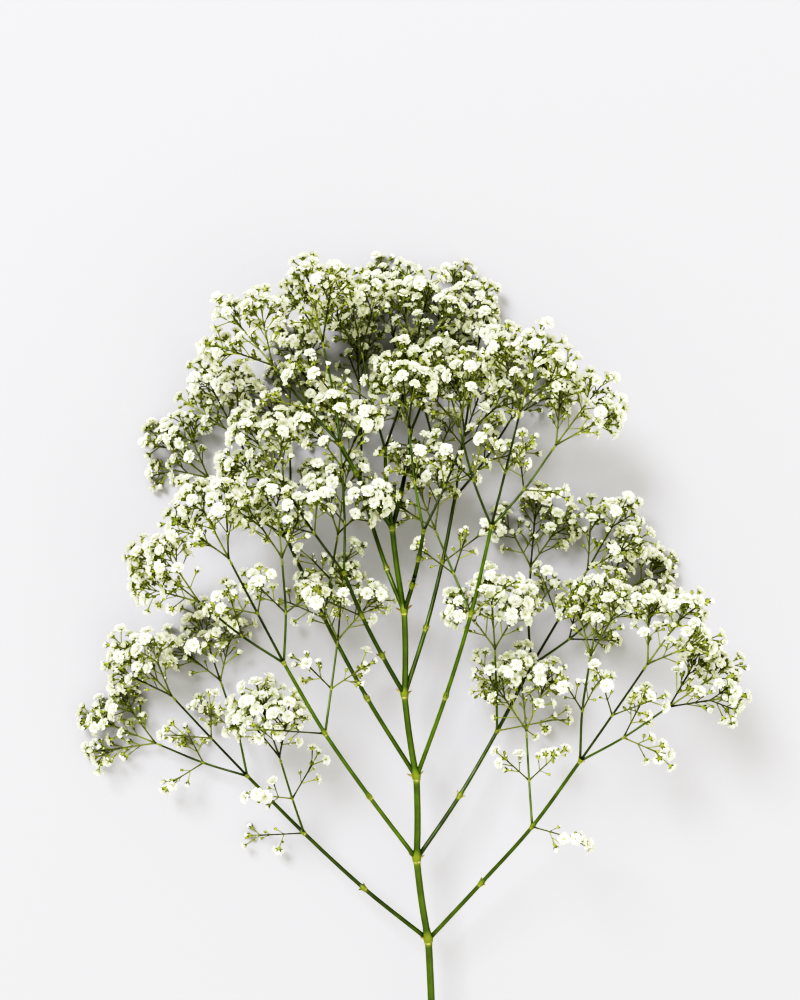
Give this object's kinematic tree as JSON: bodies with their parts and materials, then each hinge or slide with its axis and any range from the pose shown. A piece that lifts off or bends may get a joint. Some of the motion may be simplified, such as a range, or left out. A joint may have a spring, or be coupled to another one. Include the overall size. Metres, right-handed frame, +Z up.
{
  "type": "gypsophila stem",
  "caption": "Cut stem of gypsophila (baby's breath) lying down: a jointed green stalk with side branches and airy sprays of small white double blooms.",
  "frame": {"origin": "on the resting surface, under the middle of the stem's bounding box", "axes": "+Y from the cut end towards the flowers, along the length; +Z up from the surface; +X to the right seen from above"},
  "size_m": [0.3263, 0.6837, 0.0794],
  "materials": {
    "stem_green": "fresh green stalk, satin, paler and slightly swollen at the joints",
    "white_petals": "matt off-white petals, thin and slightly translucent, on fine green pedicels"
  },
  "bodies": {
    "root": {"stem": "stem_green", "spray_01": "white_petals", "spray_02": "white_petals", "spray_03": "white_petals", "spray_04": "white_petals", "spray_05": "white_petals", "spray_06": "white_petals", "spray_07": "white_petals", "spray_08": "white_petals", "spray_09": "white_petals", "spray_10": "white_petals", "spray_11": "white_petals", "spray_12": "white_petals", "spray_13": "white_petals", "spray_14": "white_petals", "spray_15": "white_petals", "spray_16": "white_petals", "spray_17": "white_petals", "spray_18": "white_petals", "spray_19": "white_petals", "spray_20": "white_petals", "spray_21": "white_petals", "spray_22": "white_petals", "spray_23": "white_petals", "spray_24": "white_petals", "spray_25": "white_petals", "spray_26": "white_petals", "spray_27": "white_petals", "spray_28": "white_petals", "spray_29": "white_petals", "spray_30": "white_petals", "spray_31": "white_petals", "spray_32": "white_petals", "spray_33": "white_petals", "spray_34": "white_petals", "spray_35": "white_petals", "spray_36": "white_petals", "spray_37": "white_petals", "spray_38": "white_petals", "spray_39": "white_petals"}
  },
  "joints": []
}
